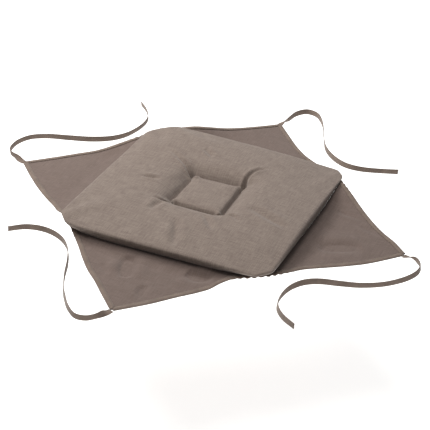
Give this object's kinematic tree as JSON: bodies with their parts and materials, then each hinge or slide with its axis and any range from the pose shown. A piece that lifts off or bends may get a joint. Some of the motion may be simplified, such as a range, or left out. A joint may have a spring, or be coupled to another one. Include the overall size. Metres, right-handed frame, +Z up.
{
  "type": "chair seat pad",
  "caption": "Square quilted seat cushion with a triangular flap hinged at each side seam; a tape tie at every flap's tip fastens it to a chair.",
  "frame": {"origin": "under the middle of the pad, on the surface it lies on", "axes": "+Z up; -Y towards the front side of the pad, with the sides of the square along X and Y and a flap's tip on each half axis"},
  "size_m": [0.7648, 0.7924, 0.035],
  "materials": {
    "cover_cloth": "matte plain weave",
    "bias_tape": "matte folded tape",
    "thread": "spun polyester",
    "wadding": "loose polyester fibre"
  },
  "bodies": {
    "pad": {"top_cover": "cover_cloth", "bottom_cover": "cover_cloth", "wadding": "wadding", "quilting_stitch_top": "thread", "quilting_stitch_bottom": "thread", "side_seam_front": "thread", "side_seam_right": "thread", "side_seam_back": "thread", "side_seam_left": "thread", "corner_binding_front_left": "bias_tape", "corner_binding_front_right": "bias_tape", "corner_binding_back_right": "bias_tape", "corner_binding_back_left": "bias_tape"},
    "front_flap": {"flap_front": "cover_cloth", "binding_front_flap_right": "bias_tape", "binding_front_flap_left": "bias_tape", "tie_front": "bias_tape"},
    "right_flap": {"flap_right": "cover_cloth", "binding_right_flap_back": "bias_tape", "binding_right_flap_front": "bias_tape", "tie_right": "bias_tape"},
    "back_flap": {"flap_back": "cover_cloth", "binding_back_flap_left": "bias_tape", "binding_back_flap_right": "bias_tape", "tie_back": "bias_tape"},
    "left_flap": {"flap_left": "cover_cloth", "binding_left_flap_front": "bias_tape", "binding_left_flap_back": "bias_tape", "tie_left": "bias_tape"}
  },
  "joints": [
    {"name": "front_flap_fold", "type": "hinge", "parent": "pad", "child": "front_flap", "pos_m": [0, -0.18, 0.009], "axis": [-1, 0, 0], "range_deg": [-90, 60]},
    {"name": "right_flap_fold", "type": "hinge", "parent": "pad", "child": "right_flap", "pos_m": [0.18, 0, 0.009], "axis": [0, -1, 0], "range_deg": [-90, 60]},
    {"name": "back_flap_fold", "type": "hinge", "parent": "pad", "child": "back_flap", "pos_m": [0, 0.18, 0.009], "axis": [1, 0, 0], "range_deg": [-90, 60]},
    {"name": "left_flap_fold", "type": "hinge", "parent": "pad", "child": "left_flap", "pos_m": [-0.18, 0, 0.009], "axis": [0, 1, 0], "range_deg": [-90, 60]}
  ]
}
